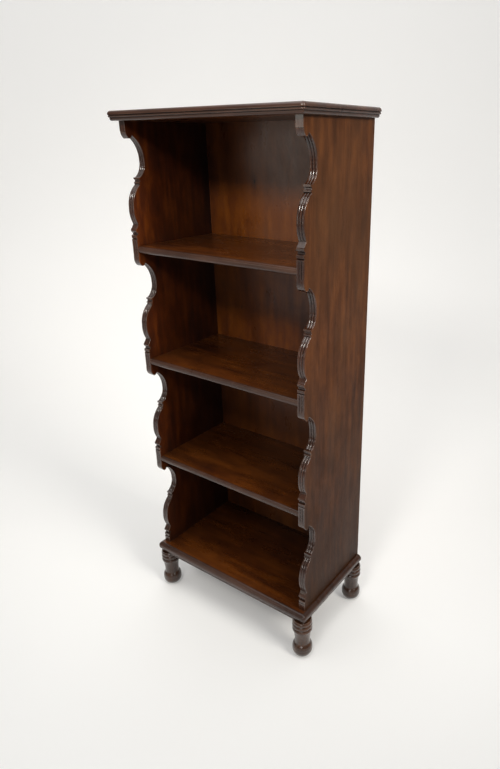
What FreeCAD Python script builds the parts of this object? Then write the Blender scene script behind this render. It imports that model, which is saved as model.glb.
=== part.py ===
import FreeCAD, Part
import math
import os

# A tall open bookcase: shaped and fluted sides, three housed shelves, moulded top and base, turned feet.
# Frame: origin on the floor under the middle of the whole piece, +Z up, the open front faces -Y.
# All sizes are in millimetres.

Vector = FreeCAD.Vector

# Carcass
carcass_width = 512.0
side_depth = 274.0
side_thickness = 19.0

# Repeats of the shaped front edge, from one curl to the next
tier_pitch = 293.5
tier_count = 4
lowest_curl_height = 251.5
top_block_height = 32.0

# Shelves
shelf_thickness = 17.0
shelf_nosing_radius = 7.0
shelf_height_above_curl = 44.0
shelf_setback = 1.0
housing_depth = 6.0
housing_stop = 28.0

# Back panel, let into rebates in the sides
back_thickness = 8.0
rebate_width = 9.0
back_clearance = 0.5

# Top and base boards
top_thickness = 21.0
top_front_overhang = 22.0
top_end_overhang = 15.5
base_thickness = 30.0
base_front_overhang = 20.0
base_end_overhang = 12.0
corner_radius = 3.0

# Flutes along the shaped edge
flute_width = 3.2
flute_depth = 1.6
flute_spacing = 6.4

# Turned feet
foot_height = 120.0
foot_radius = 26.5
foot_front_inset = 24.5
foot_rear_inset = 14.0
foot_end_inset = 23.0
spigot_radius = 11.0
spigot_length = 20.0

# Fixings
dowel_radius = 4.75
dowel_length = 34.0
dowel_in_board = 13.0
dowels_per_joint = 3
dowel_end_margin = 60.0
screw_shank_radius = 1.7
screw_head_radius = 3.4
screw_length = 24.0
screw_head_height = 2.0
screws_per_side = 6
screw_edge_distance = 4.5
screw_end_margin = 45.0
screw_shelf_clearance = 4.0
fit_clearance = 0.1
depth_clearance = 1.0

# Places that follow from the sizes above
foot_rear_projection = max(0.0, foot_radius - foot_rear_inset)
overall_depth = side_depth + top_front_overhang + foot_rear_projection
front_y = -overall_depth / 2 + top_front_overhang
rear_y = front_y + side_depth
base_top_z = foot_height + base_thickness
side_height = lowest_curl_height + tier_pitch * (tier_count - 1) + top_block_height
side_top_z = base_top_z + side_height
inner_half_width = carcass_width / 2 - side_thickness
back_front_y = rear_y - back_thickness


def save(name, shape):
    """Write one node's STEP file."""
    shape.exportStep("parts/" + name + ".step")


def side_point(y, z):
    """A point of the side's outline: y is measured back from the front plane, z up from the floor."""
    return Vector(0, front_y + y, z)


def line(a, b):
    return Part.LineSegment(a, b).toShape()


def arc(a, middle, b):
    return Part.Arc(a, middle, b).toShape()


def drop_and_curl(top_z, curl_z):
    """The straight drop face from top_z, then the curl that turns under to its small notch."""
    p = [side_point(0, top_z), side_point(0, curl_z + 12), side_point(2.5, curl_z + 2),
         side_point(8.5, curl_z - 5), side_point(13.5, curl_z - 4.5), side_point(18, curl_z + 1)]
    return [line(p[0], p[1]), arc(p[1], p[2], p[3]), arc(p[3], p[4], p[5])]


def scoop(curl_z):
    """The deep hollow under a curl."""
    start = side_point(18, curl_z + 1)
    deepest = side_point(47.3, curl_z - 53)
    end = side_point(29, curl_z - 91)
    upper = arc(start, side_point(37.5, curl_z - 18.5), deepest)
    lower = arc(deepest, side_point(43, curl_z - 76), end)
    return [upper, lower]


def neck_band(curl_z):
    """Fillet, cove and fillet between the hollow and the lobe."""
    z = curl_z - 91
    p = [side_point(29, z), side_point(25, z), side_point(25, z - 4), side_point(28.5, z - 7.5),
         side_point(25, z - 11), side_point(25, z - 14), side_point(27, z - 15.5)]
    return [line(p[0], p[1]), line(p[1], p[2]), arc(p[2], p[3], p[4]), line(p[4], p[5]), line(p[5], p[6])]


def lobe(curl_z):
    """The swelling that comes out to the front plane and falls back a little."""
    start = side_point(27, curl_z - 106.5)
    belly = side_point(1, curl_z - 158)
    end = side_point(9, curl_z - 198)
    upper = arc(start, side_point(9, curl_z - 127), belly)
    lower = arc(belly, side_point(2.4, curl_z - 181), end)
    return [upper, lower]


def ring(curl_z):
    """Sloping ledge, rounded nose, groove and fillet above the next drop."""
    z = curl_z - 198
    p = [side_point(9, z), side_point(3, z - 9), side_point(0, z - 13.5), side_point(3.5, z - 19),
         side_point(5, z - 21), side_point(5, z - 24), side_point(0.5, z - 25.5), side_point(0.5, z - 32),
         side_point(3, z - 34), side_point(0, z - 36)]
    shapes = [line(p[0], p[1]), arc(p[1], p[2], p[3])]
    shapes += [line(p[i], p[i + 1]) for i in range(3, 9)]
    return shapes


def side_outline():
    """The closed outline of a side in the YZ plane, from the top front corner downwards."""
    edges = []
    start_z = side_top_z
    for tier in reversed(range(tier_count)):
        curl_z = base_top_z + lowest_curl_height + tier * tier_pitch
        edges += drop_and_curl(start_z, curl_z) + scoop(curl_z) + neck_band(curl_z)
        edges += lobe(curl_z) + ring(curl_z)
        start_z = curl_z - 234
    corners = [side_point(0, start_z), side_point(0, base_top_z), side_point(side_depth, base_top_z),
               side_point(side_depth, side_top_z), side_point(0, side_top_z)]
    edges += [line(corners[i], corners[i + 1]) for i in range(4)]
    return Part.Face(Part.Wire(edges))


def flute_zones():
    """Height ranges that carry flutes: every drop, hollow and lobe, but no neck band or ring."""
    zones = []
    for tier in range(tier_count):
        curl_z = base_top_z + lowest_curl_height + tier * tier_pitch
        zones.append((curl_z - 88, curl_z - 2))
        zones.append((curl_z - 194, curl_z - 110))
        if tier > 0:
            zones.append((curl_z - tier_pitch + 17, curl_z - 237))
    return zones


def box(x0, x1, y0, y1, z0, z1):
    return Part.makeBox(x1 - x0, y1 - y0, z1 - z0, Vector(x0, y0, z0))


def cut_flutes(panel, outline, middle_x):
    """Sink two flutes along the shaped edge, a constant depth behind it."""
    for offset in (-flute_spacing / 2, flute_spacing / 2):
        x0 = middle_x + offset - flute_width / 2
        strip = outline.extrude(Vector(flute_width, 0, 0))
        strip.translate(Vector(x0, 0, 0))
        behind = strip.copy()
        behind.translate(Vector(0, flute_depth, 0))
        band = strip.cut(behind)
        for z0, z1 in flute_zones():
            zone = box(x0 - 1, x0 + flute_width + 1, front_y - 1, front_y + side_depth / 2, z0, z1)
            panel = panel.cut(band.common(zone))
    return panel


def shelf_heights():
    """Top faces of the three shelves, one behind each drop."""
    return [base_top_z + lowest_curl_height + shelf_height_above_curl + tier * tier_pitch
            for tier in range(tier_count - 1)]


def dowel_places():
    """X and Y of the dowels between the sides and the boards."""
    x = carcass_width / 2 - side_thickness / 2
    span = side_depth - 2 * dowel_end_margin
    step = span / (dowels_per_joint - 1)
    return [(sign * x, front_y + dowel_end_margin + i * step)
            for sign in (-1, 1) for i in range(dowels_per_joint)]


def dowel_holes():
    """Holes for every dowel, through the meeting faces of sides and boards."""
    holes = []
    radius = dowel_radius + fit_clearance
    length = dowel_length + 2 * depth_clearance
    for x, y in dowel_places():
        low = Vector(x, y, base_top_z - dowel_in_board - depth_clearance)
        high = Vector(x, y, side_top_z + dowel_in_board + depth_clearance - length)
        holes += [Part.makeCylinder(radius, length, low), Part.makeCylinder(radius, length, high)]
    return holes


def clear_of_shelves(z):
    """The height z, or just above a shelf end if a screw at z would run into it."""
    room = screw_head_radius + screw_shelf_clearance
    for top_z in shelf_heights():
        if top_z - shelf_thickness - room < z < top_z + room:
            return top_z + room
    return z


def screw_places():
    """X and Z of each back screw, spaced evenly up both rear edges but clear of the shelves."""
    x = inner_half_width + screw_edge_distance
    step = (side_height - 2 * screw_end_margin) / (screws_per_side - 1)
    heights = [clear_of_shelves(base_top_z + screw_end_margin + i * step) for i in range(screws_per_side)]
    return [(sign * x, z) for sign in (-1, 1) for z in heights]


def screw(x, z, clearance):
    """One countersunk wood screw, driven forwards from the back, or its hole."""
    radius = screw_shank_radius + clearance
    shank = Part.makeCylinder(radius, screw_length + clearance, Vector(x, rear_y, z), Vector(0, -1, 0))
    head = Part.makeCone(screw_head_radius + clearance, radius, screw_head_height,
                         Vector(x, rear_y, z), Vector(0, -1, 0))
    return shank.fuse(head).removeSplitter()


def make_side(sign):
    """A side panel with its shaped edge, flutes, shelf housings, rebate and fixing holes."""
    outline = side_outline()
    panel = outline.extrude(Vector(side_thickness, 0, 0))
    outer_x = sign * carcass_width / 2
    inner_x = sign * inner_half_width
    panel.translate(Vector(min(outer_x, inner_x), 0, 0))
    panel = cut_flutes(panel, outline, (outer_x + inner_x) / 2)
    housing_x = sorted((inner_x - sign, inner_x + sign * housing_depth))
    for top_z in shelf_heights():
        housing = box(housing_x[0], housing_x[1], front_y + housing_stop, rear_y + 1,
                      top_z - shelf_thickness, top_z)
        panel = panel.cut(housing)
    rebate_x = sorted((inner_x - sign, inner_x + sign * rebate_width))
    panel = panel.cut(box(rebate_x[0], rebate_x[1], back_front_y, rear_y + 1, base_top_z - 1, side_top_z + 1))
    panel = panel.cut(Part.makeCompound(dowel_holes()))
    screws = [screw(x, z, fit_clearance) for x, z in screw_places()]
    return panel.cut(Part.makeCompound(screws))


def make_shelf(top_z):
    """A shelf with a rounded nosing and ends notched round the stopped housings."""
    y0 = front_y + shelf_setback
    half_width = inner_half_width + housing_depth - fit_clearance
    board = box(-inner_half_width, inner_half_width, y0, back_front_y, top_z - shelf_thickness, top_z)
    nosing = [edge for edge in board.Edges
              if abs(edge.CenterOfMass.y - y0) < 0.01 and edge.Length > shelf_thickness + 1]
    board = board.makeFillet(shelf_nosing_radius, nosing)
    tongue_y = front_y + housing_stop + fit_clearance
    tongue = box(-half_width, half_width, tongue_y, back_front_y, top_z - shelf_thickness, top_z)
    return board.fuse(tongue).removeSplitter()


def top_edge(point):
    """Edge moulding of the top board: ovolo, quirk, bead and cove. point(back, up) places each corner."""
    t = top_thickness
    p = [point(7, t), point(1.9, t - 2.6), point(0, t - 8.5), point(2.6, t - 9.5), point(2.6, t - 10),
         point(0.9, t - 12), point(2.6, t - 14), point(4.5, t - 14.5), point(5, t - 18.5), point(8, 0)]
    return [arc(p[0], p[1], p[2]), line(p[2], p[3]), line(p[3], p[4]), arc(p[4], p[5], p[6]),
            line(p[6], p[7]), arc(p[7], p[8], p[9])]


def base_edge(point):
    """Edge moulding of the base board: a full round over a quirk and a set-back lower fillet."""
    t = base_thickness
    p = [point(11, t), point(2.6, t - 4.4), point(0, t - 13), point(2, t - 19.5), point(6, t - 22.5),
         point(8, t - 23.5), point(8, t - 25), point(6.5, t - 26), point(6.5, 0)]
    return [arc(p[0], p[1], p[2]), arc(p[2], p[3], p[4])] + [line(p[i], p[i + 1]) for i in range(4, 8)]


def moulded_board(edge, half_width, y0, z0, thickness):
    """A board whose front and both ends carry the same moulding, mitred at the front corners."""
    def front_point(back, up):
        return Vector(-half_width, y0 + back, z0 + up)

    def left_point(back, up):
        return Vector(-half_width + back, y0, z0 + up)

    def right_point(back, up):
        return Vector(half_width - back, y0, z0 + up)

    front_edges = edge(front_point)
    first = front_edges[0].firstVertex().Point
    last = front_edges[-1].lastVertex().Point
    rear_top = Vector(-half_width, rear_y, z0 + thickness)
    rear_bottom = Vector(-half_width, rear_y, z0)
    front_edges += [line(last, rear_bottom), line(rear_bottom, rear_top), line(rear_top, first)]
    lengthwise = Part.Face(Part.Wire(front_edges)).extrude(Vector(2 * half_width, 0, 0))

    left = edge(left_point)
    right = edge(right_point)
    left_top, left_bottom = left[0].firstVertex().Point, left[-1].lastVertex().Point
    right_top, right_bottom = right[0].firstVertex().Point, right[-1].lastVertex().Point
    loop = Part.Wire(Part.__sortEdges__(left + [line(left_bottom, right_bottom)] + right
                                        + [line(right_top, left_top)]))
    across = Part.Face(loop).extrude(Vector(0, rear_y - y0, 0))
    corner = box(-half_width, half_width, y0, rear_y, z0, z0 + thickness)
    upright = [e for e in corner.Edges if abs(e.CenterOfMass.y - y0) < 0.01
               and abs(e.Length - thickness) < 0.01 and abs(e.CenterOfMass.z - z0 - thickness / 2) < 0.01
               and abs(abs(e.CenterOfMass.x) - half_width) < 0.01]
    return lengthwise.common(across).common(corner.makeFillet(corner_radius, upright))


def make_top_board():
    board = moulded_board(top_edge, carcass_width / 2 + top_end_overhang, front_y - top_front_overhang,
                          side_top_z, top_thickness)
    return board.cut(Part.makeCompound(dowel_holes()))


def foot_places():
    """X and Y of the four feet, with their node names."""
    x = carcass_width / 2 + base_end_overhang - foot_end_inset
    front = front_y - base_front_overhang + foot_front_inset
    rear = rear_y - foot_rear_inset
    return {"front_left_foot": (-x, front), "front_right_foot": (x, front),
            "rear_left_foot": (-x, rear), "rear_right_foot": (x, rear)}


def make_base_board():
    board = moulded_board(base_edge, carcass_width / 2 + base_end_overhang, front_y - base_front_overhang,
                          foot_height, base_thickness)
    for x, y in foot_places().values():
        board = board.cut(Part.makeCylinder(spigot_radius + fit_clearance, spigot_length + depth_clearance,
                                            Vector(x, y, foot_height)))
    return board.cut(Part.makeCompound(dowel_holes()))


def make_foot(x, y):
    """A turned foot: bun, neck, three beads and a spigot, revolved about its own axis."""
    r = foot_radius
    h = foot_height

    def p(radius, z):
        return Vector(radius, 0, z)

    edges = [line(p(0, 0), p(11, 0)), arc(p(11, 0), p(22.5, 8.5), p(r, 25)),
             arc(p(r, 25), p(25.2, 35), p(21, 41.5)), line(p(21, 41.5), p(20.2, 44)),
             arc(p(20.2, 44), p(20.8, 62), p(24, h - 38))]
    bead_heights = (12.5, 12.5, 11)
    z = h - 38
    for bead in bead_heights:
        edges.append(arc(p(24, z), p(r, z + bead / 2), p(24, z + bead)))
        z += bead
    edges += [line(p(24, z), p(24, h)), line(p(24, h), p(spigot_radius, h)),
              line(p(spigot_radius, h), p(spigot_radius, h + spigot_length)),
              line(p(spigot_radius, h + spigot_length), p(0, h + spigot_length)),
              line(p(0, h + spigot_length), p(0, 0))]
    foot = Part.Face(Part.Wire(edges)).revolve(Vector(0, 0, 0), Vector(0, 0, 1), 360)
    foot.translate(Vector(x, y, 0))
    return foot


def make_back_panel():
    """The back, tight between the two boards and loose across its rebates by a small clearance."""
    half_width = inner_half_width + rebate_width - back_clearance
    panel = box(-half_width, half_width, back_front_y, rear_y, base_top_z, side_top_z)
    holes = [screw(x, z, fit_clearance) for x, z in screw_places()]
    return panel.cut(Part.makeCompound(holes))


def make_dowels():
    """All dowels between the sides and the two boards."""
    dowels = []
    for x, y in dowel_places():
        low = Vector(x, y, base_top_z - dowel_in_board)
        high = Vector(x, y, side_top_z + dowel_in_board - dowel_length)
        dowels += [Part.makeCylinder(dowel_radius, dowel_length, place) for place in (low, high)]
    return Part.makeCompound(dowels)


def main():
    os.makedirs("parts", exist_ok=True)
    save("left_side", make_side(-1))
    save("right_side", make_side(1))
    for name, top_z in zip(("lower_shelf", "middle_shelf", "upper_shelf"), shelf_heights()):
        save(name, make_shelf(top_z))
    save("top_board", make_top_board())
    save("base_board", make_base_board())
    save("back_panel", make_back_panel())
    for name, (x, y) in foot_places().items():
        save(name, make_foot(x, y))
    save("carcass_dowels", make_dowels())
    save("back_screws", Part.makeCompound([screw(x, z, 0) for x, z in screw_places()]))


main()
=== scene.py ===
import math
import bmesh
import bpy
from mathutils import Matrix, Vector


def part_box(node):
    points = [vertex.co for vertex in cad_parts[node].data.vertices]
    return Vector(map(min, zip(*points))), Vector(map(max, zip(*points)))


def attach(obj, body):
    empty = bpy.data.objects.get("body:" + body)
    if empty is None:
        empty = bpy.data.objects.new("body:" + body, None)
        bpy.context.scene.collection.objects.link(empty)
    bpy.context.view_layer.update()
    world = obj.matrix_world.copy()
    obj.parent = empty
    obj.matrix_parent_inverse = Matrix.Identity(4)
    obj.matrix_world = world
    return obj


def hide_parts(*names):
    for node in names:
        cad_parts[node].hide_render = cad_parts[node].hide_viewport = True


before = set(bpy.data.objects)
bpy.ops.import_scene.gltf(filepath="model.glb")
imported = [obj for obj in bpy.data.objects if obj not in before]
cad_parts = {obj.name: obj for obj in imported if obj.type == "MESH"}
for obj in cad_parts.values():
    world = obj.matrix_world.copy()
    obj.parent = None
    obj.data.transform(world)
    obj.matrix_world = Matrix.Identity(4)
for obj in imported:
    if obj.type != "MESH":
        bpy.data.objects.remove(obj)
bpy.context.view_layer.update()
print("frame loaded")


def fromHex(text):  # sRGB hex to linear RGBA
    channels = [int(text[i:i + 2], 16) / 255 for i in (1, 3, 5)]
    linear = [c / 12.92 if c <= 0.04045 else ((c + 0.055) / 1.055) ** 2.4 for c in channels]
    return (*linear, 1.0)


def addNode(tree, kind, settings=None, inputs=None):  # a socket given as an input is linked, a value is set
    node = tree.nodes.new(kind)
    for name, value in (settings or {}).items():
        setattr(node, name, value)
    for name, value in (inputs or {}).items():
        if isinstance(value, bpy.types.NodeSocket):
            tree.links.new(value, node.inputs[name])
        else:
            node.inputs[name].default_value = value
    return node


# a mesh object, smooth up to an angle in degrees, with faces over flatOver square metres kept flat
def makeObject(name, points, faces, smoothAngle, flatOver=0.0001):
    mesh = bpy.data.meshes.new(name)
    mesh.from_pydata(points, [], faces)
    shaped = bmesh.new()
    shaped.from_mesh(mesh)
    bmesh.ops.remove_doubles(shaped, verts=shaped.verts, dist=1e-6)
    bmesh.ops.recalc_face_normals(shaped, faces=shaped.faces)
    shaped.to_mesh(mesh)
    shaped.free()
    piece = bpy.data.objects.new(name, mesh)
    bpy.context.collection.objects.link(piece)
    mesh.shade_smooth()
    mesh.set_sharp_from_angle(angle=math.radians(smoothAngle))
    for polygon in mesh.polygons:
        if polygon.area > flatOver:
            polygon.use_smooth = False
    return piece


# points on the circle through a, middle and b, without a itself
def arcPoints(a, middle, b, count):
    (ax, ay), (mx, my), (bx, by) = a, middle, b
    squareA, squareM, squareB = ax**2 + ay**2, mx**2 + my**2, bx**2 + by**2
    area = 2 * (ax * (my - by) + mx * (by - ay) + bx * (ay - my))
    centreX = (squareA * (my - by) + squareM * (by - ay) + squareB * (ay - my)) / area
    centreY = (squareA * (bx - mx) + squareM * (ax - bx) + squareB * (mx - ax)) / area
    radius = math.hypot(ax - centreX, ay - centreY)
    start, mid, end = (math.atan2(y - centreY, x - centreX) for x, y in (a, middle, b))
    sweep = (end - start) % math.tau
    if (mid - start) % math.tau > sweep:
        sweep -= math.tau
    angles = [start + sweep * i / count for i in range(1, count + 1)]
    return [(centreX + radius * math.cos(angle), centreY + radius * math.sin(angle)) for angle in angles]


# follows ("line", end) and ("arc", middle, end) steps from a start point, arcs finer than lines
def outlinePoints(start, steps, spacing):
    points = [start]
    for kind, *places in steps:
        (fromX, fromY), (toX, toY) = points[-1], places[-1]
        if kind == "line":
            count = max(1, round(math.dist(points[-1], places[-1]) / (spacing * 4)))
            points += [(fromX + (toX - fromX) * i / count, fromY + (toY - fromY) * i / count)
                       for i in range(1, count + 1)]
        else:
            reach = math.dist(points[-1], places[0]) + math.dist(places[0], places[1])
            points += arcPoints(points[-1], *places, max(5, round(reach / spacing)))
    return points


# angles in degrees, lens in millimetres
cameraSetup = {"place": (0.9114, -1.0886, 1.2686), "turn": 35.142, "tip": 22.238, "roll": 0.407,
               "lens": 27.26, "sensorWidth": 36, "shiftX": -0.0617, "shiftY": -0.0068}


def addCamera(setup):
    turn, tip, roll = (math.radians(setup[key]) for key in ("turn", "tip", "roll"))
    forward = Vector((-math.sin(turn) * math.cos(tip), math.cos(turn) * math.cos(tip), -math.sin(tip)))
    right = Vector((math.cos(turn), math.sin(turn), 0))
    up = right.cross(forward)
    rolledRight = math.cos(roll) * right - math.sin(roll) * up
    rolledUp = math.sin(roll) * right + math.cos(roll) * up
    camera = bpy.data.objects.new("camera", bpy.data.cameras.new("camera"))
    camera.data.lens = setup["lens"]
    camera.data.sensor_width = setup["sensorWidth"]
    camera.data.shift_x = setup["shiftX"]
    camera.data.shift_y = setup["shiftY"]
    axes = Matrix((rolledRight, rolledUp, -forward)).transposed().to_4x4()
    camera.matrix_world = Matrix.Translation(setup["place"]) @ axes
    bpy.context.collection.objects.link(camera)
    bpy.context.scene.camera = camera


def addSoftbox(name, place, target, size, power, spread, colour):
    light = bpy.data.objects.new(name, bpy.data.lights.new(name, "AREA"))
    light.data.shape = "RECTANGLE"
    light.data.size, light.data.size_y = size
    light.data.energy = power
    light.data.spread = math.radians(spread)
    light.data.color = fromHex(colour)[:3]
    light.location = place
    light.rotation_euler = (Vector(target) - Vector(place)).to_track_quat("-Z", "Y").to_euler()
    bpy.context.collection.objects.link(light)


softboxes = {
    "rightSoftbox": {"place": (2.9, -0.3, 2.7), "target": (0.1, 0.0, 0.9), "size": (1.3, 1.3),
                     "power": 10.0, "spread": 55, "colour": "#FFFAF2"},
    "overheadSoftbox": {"place": (-0.1, -0.3, 4.2), "target": (-0.1, -0.3, 0.0), "size": (4.4, 4.4),
                        "power": 104, "spread": 180, "colour": "#FFFFFF"},
    "frontSoftbox": {"place": (0.45, -1.5, 2.15), "target": (-0.05, 0.0, 1.2), "size": (0.45, 0.3),
                     "power": 4.6, "spread": 70, "colour": "#FFFBF4"},
    "lowSoftbox": {"place": (0.95, -2.0, 0.95), "target": (0.1, -0.1, 0.08), "size": (0.9, 0.25),
                   "power": 0.9, "spread": 60, "colour": "#FFFFFF"},
    "windowSoftbox": {"place": (-1.5, -2.6, 1.3), "target": (0.1, 0.1, 1.15), "size": (0.9, 0.8),
                      "power": 2.0, "spread": 120, "colour": "#FFF8EC"},
}
# distances run away from the camera, from the middle of the piece
studio = {"floorColour": "#E5E5E4", "wallColour": "#E2E1DF", "tintFrom": -0.2, "tintTo": 1.6,
          "floorGlow": 0.15, "wallGlow": 0.42, "glowFrom": 0.4, "glowTo": 2.4,
          "turn": 35.142, "wallY": 2.6, "bendRadius": 1.2, "bendSteps": 16,
          "halfWidth": 6.0, "front": -5.0, "height": 5.0,
          "worldColour": "#F2F1EE", "worldStrength": 0.2}


def addStudio(values):  # floor, bend and wall in one sweep of paper
    radius, wallY, steps = values["bendRadius"], values["wallY"], values["bendSteps"]
    line = [(values["front"], 0), (wallY - radius, 0)]
    line += [(wallY - radius + radius * math.sin(a), radius - radius * math.cos(a))
             for a in (math.pi / 2 * i / steps for i in range(1, steps + 1))]
    line.append((wallY, values["height"]))
    turn = math.radians(values["turn"])
    points = [(side * values["halfWidth"] * math.cos(turn) - y * math.sin(turn),
               side * values["halfWidth"] * math.sin(turn) + y * math.cos(turn), z)
              for side in (-1, 1) for y, z in line]
    count = len(line)
    faces = [(i, count + i, count + i + 1, i + 1) for i in range(count - 1)]
    sweep = makeObject("studioSweep", points, faces, 60, flatOver=1000)
    if sweep.data.polygons[0].normal.z < 0:
        sweep.data.flip_normals()
    paper = bpy.data.materials.new("palePaper")
    paper.use_nodes = True
    tree = paper.node_tree
    tree.nodes.clear()
    place = addNode(tree, "ShaderNodeTexCoord")
    reach = addNode(tree, "ShaderNodeVectorMath", {"operation": "DOT_PRODUCT"},
                    {0: place.outputs["Object"], 1: (-math.sin(turn), math.cos(turn), 0)}).outputs["Value"]
    upWall = addNode(tree, "ShaderNodeMapRange",
                     inputs={0: reach, 1: values["tintFrom"], 2: values["tintTo"]}).outputs[0]
    tint = addNode(tree, "ShaderNodeMix", {"data_type": "RGBA"},
                   {0: upWall, 6: fromHex(values["floorColour"]), 7: fromHex(values["wallColour"])})
    glow = addNode(tree, "ShaderNodeMapRange",
                   inputs={0: reach, 1: values["glowFrom"], 2: values["glowTo"],
                           3: values["floorGlow"], 4: values["wallGlow"]})
    shader = addNode(tree, "ShaderNodeBsdfPrincipled",
                     inputs={"Base Color": tint.outputs[2], "Roughness": 0.9, "Specular IOR Level": 0.1,
                             "Emission Color": tint.outputs[2], "Emission Strength": glow.outputs[0]})
    addNode(tree, "ShaderNodeOutputMaterial", inputs={"Surface": shader.outputs[0]})
    sweep.data.materials.append(paper)
    world = bpy.data.worlds.new("studioFill")
    bpy.context.scene.world = world
    world.use_nodes = True
    background = world.node_tree.nodes["Background"]
    background.inputs["Color"].default_value = fromHex(values["worldColour"])
    background.inputs["Strength"].default_value = values["worldStrength"]


addCamera(cameraSetup)
for boxName, values in softboxes.items():
    addSoftbox(boxName, **values)
addStudio(studio)
bpy.context.scene.view_settings.view_transform = "Standard"
print("camera and studio ready")


# sizes of the wood's patterns in millimetres, (across the grain, along the grain); fibre and pores are
# drawn coarser than life so that they still show on the whole piece
woodPattern = {"bend": (90, 240), "mottle": (26, 52), "fibre": (2.4, 90), "pores": (1.2, 16),
               "fade": (190, 420), "rub": (16, 60), "smear": (60, 120), "ripple": (38, 95),
               "ribbonStretch": 8}
# metres: how deep wax sits in a quirk, how far the painted recess shade reaches, how round a rubbed edge is,
# bump heights, and the heights of the painted shade towards the floor
polishShape = {"waxReach": 0.006, "recessShadeReach": 0.3, "edgeRadius": 0.0022, "grainDepth": 0.00016,
               "rippleDepth": 0.0011, "rippleStrength": 0.35, "shadeFrom": 0.15, "shadeTo": 0.85}


def grainScale(axis, across, along):  # pattern repeats per metre on each axis, for sizes in millimetres
    return tuple(1000 / (along if name == axis else across) for name in "XYZ")


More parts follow.
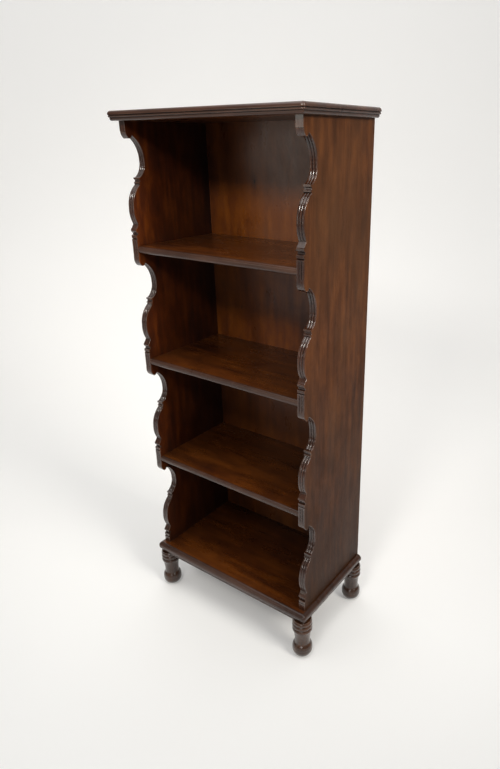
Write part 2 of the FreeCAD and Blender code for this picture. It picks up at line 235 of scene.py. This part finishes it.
# french-polished mahogany: straight open grain, ribbon figure, dark wax in the quirks, edges worn pale
def polishedMahogany(name, values, pattern=woodPattern, polish=polishShape):
    material = bpy.data.materials.new(name)
    material.use_nodes = True
    tree = material.node_tree
    tree.nodes.clear()
    axis = values["grain"]
    place = addNode(tree, "ShaderNodeTexCoord").outputs["Object"]

    def stretched(across, along, offset=(0, 0, 0)):
        return addNode(tree, "ShaderNodeMapping",
                       inputs={"Vector": place, "Scale": grainScale(axis, across, along),
                               "Location": offset}).outputs[0]

    def cloud(size, detail, roughness=0.5, distortion=0.0, offset=(0, 0, 0)):
        return addNode(tree, "ShaderNodeTexNoise", inputs={
            "Vector": stretched(*size, offset), "Scale": 1.0, "Detail": detail,
            "Roughness": roughness, "Distortion": distortion}).outputs[0]

    def blend(factor, a, b):
        return addNode(tree, "ShaderNodeMix", {"data_type": "RGBA"}, {0: factor, 6: a, 7: b}).outputs[2]

    def ramp(value, low, high, toLow=0.0, toHigh=1.0):
        return addNode(tree, "ShaderNodeMapRange",
                       inputs={0: value, 1: low, 2: high, 3: toLow, 4: toHigh}).outputs[0]

    def combine(operation, a, b, c=0.5):
        return addNode(tree, "ShaderNodeMath", {"operation": operation}, {0: a, 1: b, 2: c}).outputs[0]

    def scaled(colour, factor):
        return addNode(tree, "ShaderNodeVectorMath", {"operation": "SCALE"},
                       {0: colour, "Scale": factor}).outputs[0]

    # tone of the wood, from broad to fine
    bend = cloud(pattern["bend"], 1.0)
    ribbonSize = (values["figureWidth"], values["figureWidth"] * pattern["ribbonStretch"])
    ribbon = cloud(ribbonSize, 2.0, 0.45, 0.25)  # soft ribbon of the board
    mottle = cloud(pattern["mottle"], 3.0, 0.6, 0.3, offset=(4.2, 8.1, 1.9))  # cross-mottle under the polish
    fibre = cloud(pattern["fibre"], 3.0, 0.6)
    pores = cloud(pattern["pores"], 1.0, 0.4, offset=(3.1, 1.7, 5.3))  # open pores filled with dark polish
    tone = combine("MULTIPLY_ADD", fibre, 0.16, ramp(ribbon, 0.25, 0.75, 0.0, 0.32))
    tone = combine("MULTIPLY_ADD", mottle, 0.42, tone)
    tone = combine("MULTIPLY_ADD", bend, 0.42, tone)
    body = addNode(tree, "ShaderNodeValToRGB", inputs={0: tone})
    stops = body.color_ramp.elements
    stops[0].position, stops[0].color = 0.42, fromHex(values["dark"])
    stops[1].position, stops[1].color = 0.88, fromHex(values["light"])
    stops.new(0.64).color = fromHex(values["middle"])

    # what age adds: fading, pores, knots, wax in the quirks; then painted shade, darker in the recesses and
    # darker towards the floor
    fade = cloud(pattern["fade"], 2.0, 0.5, offset=(7.7, 2.2, 0.6))
    colour = blend(ramp(fade, 0.42, 0.68, 0.0, values["fading"]), body.outputs[0], fromHex(values["faded"]))
    colour = blend(ramp(pores, 0.60, 0.70, 0.0, values["poreShow"]), colour, fromHex(values["pore"]))
    for x, z, size in values.get("knots", ()):  # an eye longer than wide, in a darker halo
        squashed = addNode(tree, "ShaderNodeVectorMath", {"operation": "MULTIPLY"},
                           {0: place, 1: (1.0, 0.0, 0.45)}).outputs[0]
        apart = addNode(tree, "ShaderNodeVectorMath", {"operation": "DISTANCE"},
                        {0: squashed, 1: (x, 0.0, z * 0.45)}).outputs["Value"]
        colour = blend(ramp(apart, size * 0.6, size * 3.2, 0.5, 0.0), colour, fromHex(values["dark"]))
        colour = blend(ramp(apart, size * 0.35, size, 0.9, 0.0), colour, fromHex(values["pore"]))
    hollow = addNode(tree, "ShaderNodeAmbientOcclusion", {"samples": 4, "only_local": True},
                     {"Distance": polish["waxReach"]}).outputs["AO"]
    colour = blend(ramp(hollow, 0.35, 0.85, values["wax"], 0.0), colour, fromHex(values["waxColour"]))
    # painted shade: the colour is darkened where the piece is enclosed, deep in each compartment and under
    # the shelves
    openness = addNode(tree, "ShaderNodeAmbientOcclusion", {"samples": 6},
                    {"Distance": polish["recessShadeReach"]}).outputs["AO"]
    colour = scaled(colour, ramp(openness, 0.25, 0.85, values["recessShade"], 1.0))
    # painted shade: the colour darkens towards the floor, below shadeTo metres above the base
    up = addNode(tree, "ShaderNodeSeparateXYZ", inputs={0: place}).outputs["Z"]
    colour = scaled(colour, ramp(up, polish["shadeFrom"], polish["shadeTo"], values["lowShade"], 1.0))

    # edges rubbed pale where the true and the rounded surface part, but not in the hollows
    softNormal = addNode(tree, "ShaderNodeBevel", {"samples": 4}, {"Radius": polish["edgeRadius"]}).outputs[0]
    trueNormal = addNode(tree, "ShaderNodeNewGeometry").outputs["Normal"]
    spread = addNode(tree, "ShaderNodeVectorMath", {"operation": "DOT_PRODUCT"},
                     {0: softNormal, 1: trueNormal}).outputs["Value"]
    rubbed = combine("MULTIPLY", ramp(spread, 0.995, 0.90), ramp(cloud(pattern["rub"], 3.0), 0.38, 0.62))
    rubbed = combine("MULTIPLY", rubbed, ramp(hollow, 0.80, 0.95))
    colour = blend(combine("MULTIPLY", rubbed, values["edgeWear"]), colour, fromHex(values["worn"]))

    # gloss that handling has smeared, duller in the pores, over grain and a slight ripple from the scraper
    smear = cloud(pattern["smear"], 4.0, 0.6, offset=(1.3, 9.1, 4.4))
    sheen = combine("ADD", ramp(smear, 0.35, 0.65, values["gloss"] - 0.05, values["gloss"] + 0.07),
                    ramp(pores, 0.6, 0.7, 0.0, 0.12))
    height = combine("SUBTRACT", ramp(fibre, 0.2, 0.8, 0.0, 0.5), ramp(pores, 0.58, 0.72, 0.0, 0.7))
    grainBump = addNode(tree, "ShaderNodeBump", inputs={
        "Height": height, "Distance": polish["grainDepth"], "Strength": values["grainBump"]})
    ripple = addNode(tree, "ShaderNodeBump", inputs={
        "Height": cloud(pattern["ripple"], 2.0, 0.5, offset=(2.5, 6.6, 8.8)),
        "Distance": polish["rippleDepth"], "Strength": polish["rippleStrength"],
        "Normal": grainBump.outputs[0]})
    shader = addNode(tree, "ShaderNodeBsdfPrincipled", inputs={
        "Base Color": colour, "Roughness": sheen, "IOR": values["ior"], "Specular IOR Level": values["shine"],
        "Normal": ripple.outputs[0],
        "Coat Weight": values["coat"], "Coat Roughness": values["coatRoughness"], "Coat IOR": 1.5})
    addNode(tree, "ShaderNodeOutputMaterial", inputs={"Surface": shader.outputs[0]})
    return material


# red-brown outer faces gone dull, with painted shade making them darker towards the floor and in the recesses
sideWood = {"grain": "Z", "figureWidth": 16, "dark": "#341B0C", "middle": "#4B2A15", "light": "#643A1C",
            "faded": "#533620", "fading": 0.6, "pore": "#1E0E08", "poreShow": 0.2, "wax": 0.8,
            "waxColour": "#0F0704", "worn": "#7C5A40", "edgeWear": 0.5, "gloss": 0.4, "grainBump": 0.4,
            "ior": 1.3, "shine": 0.15, "coat": 0.0, "coatRoughness": 0.16, "recessShade": 0.3,
            "lowShade": 0.42}
# warmer inner faces that kept their colour out of the light, with deep painted shade in the recesses
insideWood = {**sideWood, "dark": "#2C1007", "middle": "#562408", "light": "#82400E", "faded": "#5A2A0C",
              "fading": 0.4, "ior": 1.4, "shine": 0.4, "coat": 0.3, "coatRoughness": 0.3, "recessShade": 0.1,
              "lowShade": 0.45}
# dark glossy reeds whose rounds catch thin bright lines
reedWood = {**sideWood, "dark": "#26120A", "middle": "#331A0F", "light": "#442414", "fading": 0.2,
            "gloss": 0.24, "ior": 1.45, "shine": 0.4, "coat": 0.7, "coatRoughness": 0.13,
            "edgeWear": 0.7, "worn": "#7E5F4A", "lowShade": 0.9}
# dark greyish mouldings and nosings, softly shining
boardWood = {**reedWood, "grain": "X", "figureWidth": 18, "dark": "#28160E", "middle": "#382117",
             "light": "#4A2E20", "faded": "#4C372A", "coat": 0.25, "gloss": 0.3, "edgeWear": 0.5,
             "grainBump": 0.2, "poreShow": 0.08, "recessShade": 0.6}
# deep brown flats with a polish that mirrors the back a little
shelfWood = {**sideWood, "grain": "X", "figureWidth": 22, "dark": "#33160A", "middle": "#50270C",
             "light": "#6E3A12", "faded": "#5A3210", "fading": 0.35, "ior": 1.4, "shine": 0.5,
             "coat": 0.45, "gloss": 0.28, "worn": "#6E4A34", "edgeWear": 0.5, "grainBump": 0.12,
             "poreShow": 0.08, "recessShade": 0.3, "lowShade": 0.9}
# golden-brown back board, the palest wood of the piece, with two small knots as (x, z, size) in metres
backWood = {**sideWood, "figureWidth": 26, "dark": "#4E2409", "middle": "#74390E", "light": "#9A5415",
            "faded": "#85480D", "pore": "#241106", "gloss": 0.32, "ior": 1.45, "shine": 0.5, "coat": 0.3,
            "coatRoughness": 0.3, "lowShade": 0.6,
            "knots": ((-0.0787, 1.1740, 0.0035), (-0.1397, 0.8340, 0.0018))}
# turned feet, burnished on the lathe, so their rings catch sharp lights
turnedWood = {**reedWood, "dark": "#2C170D", "middle": "#3C2416", "light": "#5A3620", "gloss": 0.2,
              "coat": 0.45, "coatRoughness": 0.07, "grainBump": 0.15, "recessShade": 0.6}

sideFinish = polishedMahogany("mahoganySideFrenchPolished", sideWood)
insideFinish = polishedMahogany("mahoganyInsideFrenchPolished", insideWood)
reedFinish = polishedMahogany("mahoganyReedsFrenchPolished", reedWood)
boardFinish = polishedMahogany("mahoganyMouldingFrenchPolished", boardWood)
shelfFinish = polishedMahogany("mahoganyShelfFrenchPolished", shelfWood)
backFinish = polishedMahogany("mahoganyBackOiled", backWood)
turnedFinish = polishedMahogany("mahoganyTurnedFrenchPolished", turnedWood)


ironColours = {"plain": "#2E2A27", "rust": "#6A4A36", "bloomScale": 600.0, "smoothest": 0.35,
               "roughest": 0.75, "metallic": 0.85}


# iron screws driven by hand and gone brown-black: dull heads with a little rust bloom
def blackenedSteel(values):
    material = bpy.data.materials.new("ironScrewBlackened")
    material.use_nodes = True
    tree = material.node_tree
    tree.nodes.clear()
    place = addNode(tree, "ShaderNodeTexCoord").outputs["Object"]
    bloom = addNode(tree, "ShaderNodeTexNoise",
                    inputs={"Vector": place, "Scale": values["bloomScale"], "Detail": 3.0}).outputs[0]
    colour = addNode(tree, "ShaderNodeMix", {"data_type": "RGBA"},
                     {0: bloom, 6: fromHex(values["plain"]), 7: fromHex(values["rust"])}).outputs[2]
    rough = addNode(tree, "ShaderNodeMapRange",
                    inputs={0: bloom, 3: values["smoothest"], 4: values["roughest"]}).outputs[0]
    shader = addNode(tree, "ShaderNodeBsdfPrincipled",
                     inputs={"Base Color": colour, "Metallic": values["metallic"], "Roughness": rough})
    addNode(tree, "ShaderNodeOutputMaterial", inputs={"Surface": shader.outputs[0]})
    return material


screwFinish = blackenedSteel(ironColours)
print("materials ready")


sideLow, sideHigh = (Vector(corner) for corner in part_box("right_side"))
frontY, rearY = sideLow.y, sideHigh.y
baseTop, sideTop = sideLow.z, sideHigh.z
thickness = sideHigh.x - sideLow.x
innerHalf = sideLow.x

# metres; the shaped edge repeats upward from the lowest curl, and each repeat carries three round reeds
sideShape = {"tierPitch": 0.2935, "tierCount": 4, "lowestCurl": 0.2515, "quirkHeight": 0.0095,
             "reedWidths": (0.0064, 0.0062, 0.0064), "reedDepth": 0.0023, "outerReedDepth": 0.0008,
             "samplesPerReed": 12, "reedFade": 0.0038, "arris": 0.0006,
             "curveSpacing": 0.0022, "dropSpacing": 0.0007,
             "rebateWidth": 0.009, "rebateDepth": 0.008, "smoothAngle": 35}


# one repeat of the shaped edge as (reeded, steps) runs from the top down; curl is the height of its curl
def tierSteps(curl, isTopBlock, quirkHeight):
    def at(y, z):  # millimetres behind the front and above the curl
        return (frontY + y / 1000, curl + z / 1000)

    drop = [("line", at(0, 17))]
    curlUnder = [("line", at(0, 12)), ("arc", at(2.5, 2), at(8.5, -5)), ("arc", at(13.5, -4.5), at(18, 1))]
    if isTopBlock:
        quirk = quirkHeight * 1000
        curlUnder = [("line", at(0, quirk + 0.9)), ("line", at(1.4, quirk + 0.4)),
                     ("line", at(1.4, quirk - 0.4)), ("line", at(0.5, quirk - 0.9)),
                     ("arc", at(3, 1.8), at(8.5, -5)), curlUnder[-1]]
    scoop = [("arc", at(37.5, -18.5), at(47.3, -53)), ("arc", at(43, -76), at(29, -91))]
    neckBand = [("line", at(25, -91)), ("line", at(25, -95)), ("arc", at(28.5, -98.5), at(25, -102)),
                ("line", at(25, -105)), ("line", at(27, -106.5))]
    lobe = [("arc", at(9, -127), at(1, -158)), ("arc", at(2.4, -181), at(9, -198))]
    ring = [("line", at(3, -207)), ("arc", at(0, -211.5), at(3.5, -217)), ("line", at(5, -219)),
            ("line", at(5, -222)), ("line", at(0.5, -223.5)), ("line", at(0.5, -230)),
            ("line", at(3, -232)), ("line", at(0, -234))]
    return [(not isTopBlock, drop), (False, curlUnder), (True, scoop), (False, neckBand), (True, lobe),
            (False, ring)]


# points of the front edge from top to bottom, each with how far its reeds are cut, 0 to 1
def sideEdge(values):
    points, reeding = [(frontY, sideTop)], [0.0]
    for tier in reversed(range(values["tierCount"])):
        curl = baseTop + values["lowestCurl"] + tier * values["tierPitch"]
        isTopBlock = tier == values["tierCount"] - 1
        for number, (reeded, steps) in enumerate(tierSteps(curl, isTopBlock, values["quirkHeight"])):
            isReededDrop = reeded and number == 0
            run = outlinePoints(points[-1], steps, values["dropSpacing" if isReededDrop else "curveSpacing"])
            length = [0.0]
            for a, b in zip(run, run[1:]):
                length.append(length[-1] + math.dist(a, b))
            for here, travelled in list(zip(run, length))[1:]:
                nearEnd = min(travelled, length[-1] - travelled) / values["reedFade"]
                points.append(here)
                reeding.append(math.sin(min(nearEnd, 1.0) * math.pi / 2) if reeded else 0.0)
    points.append((frontY, baseTop))
    reeding.append(0.0)
    return points, reeding


# (place across the thickness, arris setback, reed setback) of each column of points, in metres
def acrossProfile(values):
    columns, start = [], 0.0
    count = values["samplesPerReed"]
    last = len(values["reedWidths"]) - 1
    for number, width in enumerate(values["reedWidths"]):
        for i in range(count + 1 if number == last else count):
            share = math.sin(math.pi * (i / count - 0.5))
            isOuter = (number == 0 and share < 0) or (number == last and share > 0)
            depth = values["outerReedDepth"] if isOuter else values["reedDepth"]
            x = start + width * (share + 1) / 2
            edge = max(0.0, 1 - min(x, thickness - x) / values["arris"])
            arris = values["arris"] * (1 - math.sqrt(1 - edge**2))
            columns.append((x, arris, depth * (1 - math.sqrt(max(0.0, 1 - share**2)))))
        start += width
    return columns


def buildSide(name, outerX, innerX, values):  # the edge swept across the thickness, plus the flat faces
    points, reeding = sideEdge(values)
    columns = acrossProfile(values)
    sign = 1 if outerX > innerX else -1
    vertices, faces = [], []
    for i, (y, z) in enumerate(points):
        before, after = points[max(i - 1, 0)], points[min(i + 1, len(points) - 1)]
        dy, dz = after[0] - before[0], after[1] - before[1]
        size = math.hypot(dy, dz) or 1
        inwardZ = 0 if i in (0, len(points) - 1) else dy / size
        for across, arris, reed in columns:
            back = arris + reed * reeding[i]
            vertices.append((innerX + sign * across, y - dz / size * back, z + inwardZ * back))
    width = len(columns)
    for i in range(len(points) - 1):
        faces += [(i * width + j, i * width + j + 1, (i + 1) * width + j + 1, (i + 1) * width + j)
                  for j in range(width - 1)]
    rebateX, rebateY = innerX + sign * values["rebateWidth"], rearY - values["rebateDepth"]
    rearLine = [(outerX, rearY), (rebateX, rearY), (rebateX, rebateY), (innerX, rebateY)]
    top = len(vertices)
    vertices += [(x, y, sideTop) for x, y in rearLine]
    low = len(vertices)
    vertices += [(x, y, baseTop) for x, y in rearLine]
    last = (len(points) - 1) * width
    faces.append([i * width for i in range(len(points))] + [low + 3, top + 3])
    faces.append([i * width + width - 1 for i in range(len(points))] + [low, top])
    faces.append(list(range(width)) + [top, top + 1, top + 2, top + 3])
    faces.append([last + j for j in range(width)] + [low, low + 1, low + 2, low + 3])
    faces += [(top + i, top + i + 1, low + i + 1, low + i) for i in range(3)]
    panel = makeObject(name, vertices, faces, values["smoothAngle"])
    panel.data.materials.append(sideFinish)
    panel.data.materials.append(reedFinish)
    panel.data.materials.append(insideFinish)
    for polygon in panel.data.polygons:  # the edge is all small faces, the inside one large face
        isInside = polygon.normal.x * sign < -0.9 and polygon.area > 0.01
        polygon.material_index = 2 if isInside else 1 if polygon.area < 0.0001 else 0
    return panel


for sideName, sign in (("left_side", -1), ("right_side", 1)):
    panelName = sideName.replace("_", "") + "Panel"
    panel = buildSide(panelName, sign * (innerHalf + thickness), sign * innerHalf, sideShape)
    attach(panel, "root")
    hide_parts(sideName)
print("sides ready")


# mouldings from the top down, in millimetres behind the front and above the underside
mouldedEdge = {"cornerRadius": 0.008, "sharpestCorner": 0.0004, "cornerTurns": 6, "spacing": 0.7,
               "smoothAngle": 32}
topShape = {**mouldedEdge, "node": "top_board", "start": (7, 21), "steps": [
    ("arc", (1.9, 18.4), (0, 12.5)), ("line", (2.6, 11.5)), ("line", (2.6, 11)), ("arc", (0.9, 9), (2.6, 7)),
    ("line", (4.5, 6.5)), ("arc", (5, 2.5), (8, 0))]}
baseShape = {**mouldedEdge, "node": "base_board", "start": (11, 30), "steps": [
    ("arc", (2.6, 25.6), (0, 17)), ("arc", (2, 10.5), (6, 7.5)), ("line", (8, 6.5)), ("line", (8, 5)),
    ("line", (6.5, 4)), ("line", (6.5, 0))]}


# a board whose front and ends carry one moulding, with slightly rounded front corners
def buildMouldedBoard(name, values):
    low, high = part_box(values["node"])
    profile = outlinePoints(values["start"], values["steps"], values["spacing"])
    turns = values["cornerTurns"]
    loops = []
    for back, up in profile:
        back, z = back / 1000, low[2] + up / 1000
        radius = max(values["cornerRadius"] - back, values["sharpestCorner"])
        cx, cy = high[0] - back - radius, low[1] + back + radius
        corner = [(cx + radius * math.sin(a), cy - radius * math.cos(a))
                  for a in (math.pi / 2 * i / turns for i in range(turns + 1))]
        right = corner + [(high[0] - back, high[1])]
        left = [(-x, y) for x, y in reversed(right)]
        loops.append([(x, y, z) for x, y in left + right])
    width = len(loops[0])
    vertices = [point for loop in loops for point in loop]
    faces = [(i * width + j, i * width + j + 1, (i + 1) * width + j + 1, (i + 1) * width + j)
             for i in range(len(loops) - 1) for j in range(width - 1)]
    last = (len(loops) - 1) * width
    faces.append(list(range(width)))
    faces.append([last + j for j in range(width)])
    leftEnd = [i * width for i in range(len(loops))]
    rightEnd = [i * width + width - 1 for i in reversed(range(len(loops)))]
    faces.append(leftEnd + rightEnd)  # the plain rear
    board = makeObject(name, vertices, faces, values["smoothAngle"])
    board.data.materials.append(boardFinish)
    board.data.materials.append(shelfFinish)
    for polygon in board.data.polygons:  # the large top and underside are plain boards, the edge is moulded
        polygon.material_index = 1 if abs(polygon.normal.z) > 0.9 and polygon.area > 0.01 else 0
    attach(board, "root")
    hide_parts(values["node"])


buildMouldedBoard("topBoard", topShape)
buildMouldedBoard("baseBoard", baseShape)


shelfShape = {"noseRadius": 0.007, "noseSteps": 11, "bays": 24, "smoothAngle": 35}


def buildShelf(node, values):  # a flat board between the sides with both front edges rounded
    low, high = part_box(node)
    y0, y1, z0, z1 = low[1], high[1], low[2], high[2]
    radius, steps = values["noseRadius"], values["noseSteps"]
    bend = radius * (1 - math.sqrt(0.5))  # how far the middle of a quarter round lies from the corner's faces
    section = [(y1, z1), (y0 + radius, z1)]
    section += arcPoints(section[-1], (y0 + bend, z1 - bend), (y0, z1 - radius), steps)
    section.append((y0, z0 + radius))
    section += arcPoints(section[-1], (y0 + bend, z0 + bend), (y0 + radius, z0), steps)
    section.append((y1, z0))
    stations = [-innerHalf + 2 * innerHalf * i / values["bays"] for i in range(values["bays"] + 1)]
    vertices = [(x, y, z) for x in stations for y, z in section]
    width = len(section)
    faces = [(i * width + j, i * width + (j + 1) % width,
              (i + 1) * width + (j + 1) % width, (i + 1) * width + j)
             for i in range(len(stations) - 1) for j in range(width)]
    faces.append(list(range(width)))
    faces.append([(len(stations) - 1) * width + j for j in range(width)])
    shelf = makeObject(node.replace("_", "") + "Board", vertices, faces, values["smoothAngle"])
    shelf.data.materials.append(shelfFinish)
    shelf.data.materials.append(boardFinish)
    for polygon in shelf.data.polygons:  # the nosing is darker than the flat
        isNosing = polygon.center.y < y0 + radius and abs(polygon.normal.x) < 0.5
        polygon.material_index = 1 if isNosing else 0
    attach(shelf, "root")
    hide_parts(node)


for shelfName in ("lower_shelf", "middle_shelf", "upper_shelf"):
    buildShelf(shelfName, shelfShape)
print("boards and shelves ready")


# radius and height of the turning in millimetres, from the floor up
footShape = {"segments": 72, "steps": 220, "spacing": 1.0, "smoothAngle": 50, "start": (0, 0), "outline": [
    ("line", (11, 0)), ("arc", (22.5, 8.5), (26.5, 25)), ("arc", (25.2, 35), (21, 41.5)),
    ("line", (20.2, 44)), ("arc", (20.8, 62), (24, 82)),
    ("arc", (26.5, 88.25), (24, 94.5)), ("arc", (26.5, 100.75), (24, 107)), ("arc", (26, 112.5), (24, 118)),
    ("line", (24, 120)), ("line", (0, 120))]}


def latheTree():  # bends a grid round the Z axis along the outline, then moves it to its place
    tree = bpy.data.node_groups.new("latheTurning", "GeometryNodeTree")
    face = tree.interface
    face.new_socket("Geometry", in_out="INPUT", socket_type="NodeSocketGeometry")
    face.new_socket("Place", in_out="INPUT", socket_type="NodeSocketVector")
    face.new_socket("Segments", in_out="INPUT", socket_type="NodeSocketInt")
    face.new_socket("Steps", in_out="INPUT", socket_type="NodeSocketInt")
    face.new_socket("Finish", in_out="INPUT", socket_type="NodeSocketMaterial")
    face.new_socket("Geometry", in_out="OUTPUT", socket_type="NodeSocketGeometry")
    given = addNode(tree, "NodeGroupInput")
    sheet = addNode(tree, "GeometryNodeMeshGrid",
                    inputs={"Vertices X": given.outputs["Steps"], "Vertices Y": given.outputs["Segments"],
                            "Size X": 1.0, "Size Y": 1.0})
    here = addNode(tree, "GeometryNodeInputPosition").outputs[0]
    across = addNode(tree, "ShaderNodeSeparateXYZ", inputs={0: here})
    travel = addNode(tree, "ShaderNodeMath", {"operation": "ADD"}, {0: across.outputs["X"], 1: 0.5})
    turn = addNode(tree, "ShaderNodeMath", {"operation": "MULTIPLY"}, {0: across.outputs["Y"], 1: math.tau})
    line = addNode(tree, "GeometryNodeMeshToCurve", inputs={"Mesh": given.outputs["Geometry"]})
    sample = addNode(tree, "GeometryNodeSampleCurve",
                     inputs={"Curves": line.outputs[0], "Factor": travel.outputs[0]})
    turned = addNode(tree, "ShaderNodeVectorRotate", {"rotation_type": "Z_AXIS"},
                     {"Vector": sample.outputs["Position"], "Angle": turn.outputs[0]})
    placed = addNode(tree, "ShaderNodeVectorMath", {"operation": "ADD"},
                     {0: turned.outputs[0], 1: given.outputs["Place"]})
    shaped = addNode(tree, "GeometryNodeSetPosition",
                     inputs={"Geometry": sheet.outputs["Mesh"], "Position": placed.outputs[0]})
    closed = addNode(tree, "GeometryNodeMergeByDistance",
                     inputs={"Geometry": shaped.outputs[0], "Distance": 0.00002})
    real = addNode(tree, "GeometryNodeRealizeInstances", inputs={"Geometry": closed.outputs[0]})
    finished = addNode(tree, "GeometryNodeSetMaterial",
                       inputs={"Geometry": real.outputs[0], "Material": given.outputs["Finish"]})
    addNode(tree, "NodeGroupOutput", inputs={"Geometry": finished.outputs[0]})
    return tree


def setInput(modifier, name, value):
    for item in modifier.node_group.interface.items_tree:
        if item.in_out == "INPUT" and item.name == name:
            modifier[item.identifier] = value


# runs a tree on a source object and keeps the result as a plain mesh piece
def runTree(name, source, tree, values):
    modifier = source.modifiers.new(tree.name, "NODES")
    modifier.node_group = tree
    for key, value in values.items():
        setInput(modifier, key, value)
    depsgraph = bpy.context.evaluated_depsgraph_get()
    mesh = bpy.data.meshes.new_from_object(source.evaluated_get(depsgraph))
    bpy.data.objects.remove(source)  # its modifier goes with it
    shaped = bmesh.new()
    shaped.from_mesh(mesh)
    bmesh.ops.recalc_face_normals(shaped, faces=shaped.faces)
    shaped.to_mesh(mesh)
    shaped.free()
    mesh.name = name
    piece = bpy.data.objects.new(name, mesh)
    bpy.context.collection.objects.link(piece)
    return piece


def buildFeet(values):
    tree = latheTree()
    outline = outlinePoints(values["start"], values["outline"], values["spacing"])
    for node in ("front_left_foot", "front_right_foot", "rear_left_foot", "rear_right_foot"):
        low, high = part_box(node)
        mesh = bpy.data.meshes.new("footOutline")
        edges = [(i, i + 1) for i in range(len(outline) - 1)]
        mesh.from_pydata([(r / 1000, 0, z / 1000) for r, z in outline], edges, [])
        source = bpy.data.objects.new("footOutline", mesh)
        bpy.context.collection.objects.link(source)
        place = ((low[0] + high[0]) / 2, (low[1] + high[1]) / 2, low[2])
        foot = runTree(node.replace("_", "") + "Turned", source, tree,
                       {"Place": place, "Segments": values["segments"] + 1, "Steps": values["steps"],
                        "Finish": turnedFinish})
        foot.data.shade_smooth()
        foot.data.set_sharp_from_angle(angle=math.radians(values["smoothAngle"]))
        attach(foot, "root")
        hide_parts(node)


buildFeet(footShape)
print("feet ready")


# metres; one slotted screw is made once and set along the back by Geometry Nodes
screwShape = {"perSide": 6, "edgeDistance": 0.0045, "endMargin": 0.045, "headRadius": 0.0034,
              "faceShare": 0.86, "rimDrop": 0.00012, "slotWidth": 0.0009, "slotDepth": 0.0008,
              "headDepth": 0.002, "neck": 0.0003, "shankRadius": 0.0017, "taperFrom": 0.8,
              "tipRadius": 0.0002, "length": 0.024, "arcSteps": 20, "segments": 40, "smoothAngle": 30,
              "seed": 4}


# one countersunk wood screw along +Z: head at the origin, slot cut along X, shank below
def slottedScrew(values):
    radius, half, share = values["headRadius"], values["slotWidth"] / 2, values["faceShare"]
    start = math.asin(half / radius)
    vertices, faces = [], []
    count = values["arcSteps"] + 1
    angles = [start + (math.pi - 2 * start) * i / values["arcSteps"] for i in range(count)]
    for side in (1, -1):  # the two halves of the head's face, either side of the slot
        arc = [(radius * math.cos(a), side * radius * math.sin(a)) for a in angles]
        rim = len(vertices)
        face, floor = rim + count, rim + 2 * count
        vertices += [(x, y, -values["rimDrop"]) for x, y in arc]
        vertices += [(x * share, max(abs(y) * share, half) * side, 0.0) for x, y in arc]
        vertices += [(x, y, -values["slotDepth"]) for x, y in arc]
        for i in range(count - 1):
            faces.append((rim + i, rim + i + 1, face + i + 1, face + i))
            faces.append((rim + i, rim + i + 1, floor + i + 1, floor + i))
        faces.append([face + i for i in range(count)])
        faces.append((rim, face, floor - 1, face - 1, floor + count - 1, floor))
    rings = [(radius, -values["slotDepth"]), (values["shankRadius"], -values["headDepth"] - values["neck"]),
             (values["shankRadius"], -values["length"] * values["taperFrom"]),
             (values["tipRadius"], -values["length"])]
    base, turns = len(vertices), values["segments"]
    circle = [(math.cos(math.tau * i / turns), math.sin(math.tau * i / turns)) for i in range(turns)]
    for ringRadius, z in rings:
        vertices += [(ringRadius * x, ringRadius * y, z) for x, y in circle]
    for level in range(len(rings) - 1):
        upper, lower = base + level * turns, base + (level + 1) * turns
        faces += [(upper + i, upper + (i + 1) % turns, lower + (i + 1) % turns, lower + i)
                  for i in range(turns)]
    faces.append([base + i for i in range(turns)])
    faces.append([base + turns * (len(rings) - 1) + i for i in range(turns)])
    return makeObject("slottedScrewPattern", vertices, faces, values["smoothAngle"])


def fastenerRowTree():  # one fastener on every point, facing back, each slot at its own angle
    tree = bpy.data.node_groups.new("fastenerRows", "GeometryNodeTree")
    face = tree.interface
    face.new_socket("Geometry", in_out="INPUT", socket_type="NodeSocketGeometry")
    face.new_socket("Fastener", in_out="INPUT", socket_type="NodeSocketObject")
    face.new_socket("Seed", in_out="INPUT", socket_type="NodeSocketInt")
    face.new_socket("Finish", in_out="INPUT", socket_type="NodeSocketMaterial")
    face.new_socket("Geometry", in_out="OUTPUT", socket_type="NodeSocketGeometry")
    given = addNode(tree, "NodeGroupInput")
    pattern = addNode(tree, "GeometryNodeObjectInfo", inputs={"Object": given.outputs["Fastener"]})
    spin = addNode(tree, "FunctionNodeRandomValue", {"data_type": "FLOAT"},
                   {2: 0.0, 3: math.pi, "Seed": given.outputs["Seed"]})
    turned = addNode(tree, "ShaderNodeCombineXYZ", inputs={0: -math.pi / 2, 1: spin.outputs[1]})
    placed = addNode(tree, "GeometryNodeInstanceOnPoints",
                     inputs={"Points": given.outputs["Geometry"], "Instance": pattern.outputs["Geometry"],
                             "Rotation": turned.outputs[0]})
    real = addNode(tree, "GeometryNodeRealizeInstances", inputs={"Geometry": placed.outputs[0]})
    finished = addNode(tree, "GeometryNodeSetMaterial",
                       inputs={"Geometry": real.outputs[0], "Material": given.outputs["Finish"]})
    addNode(tree, "NodeGroupOutput", inputs={"Geometry": finished.outputs[0]})
    return tree


def buildScrews(values):
    pattern = slottedScrew(values)
    x = innerHalf + values["edgeDistance"]
    low, high = baseTop + values["endMargin"], sideTop - values["endMargin"]
    step = (high - low) / (values["perSide"] - 1)
    places = [(side * x, rearY, low + i * step) for side in (-1, 1) for i in range(values["perSide"])]
    mesh = bpy.data.meshes.new("screwPlaces")
    mesh.from_pydata(places, [], [])
    source = bpy.data.objects.new("screwPlaces", mesh)
    bpy.context.collection.objects.link(source)
    screws = runTree("backScrewsSlotted", source, fastenerRowTree(),
                     {"Fastener": pattern, "Seed": values["seed"], "Finish": screwFinish})
    bpy.data.objects.remove(pattern)
    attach(screws, "root")
    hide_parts("back_screws")


buildScrews(screwShape)
print("screws ready")


# the back panel and the dowels keep the frame's own shapes and only take a finish
for nodeName in ("back_panel", "carcass_dowels"):
    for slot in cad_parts[nodeName].material_slots:
        slot.material = backFinish
print("back and dowels finished")

print("scene ready")
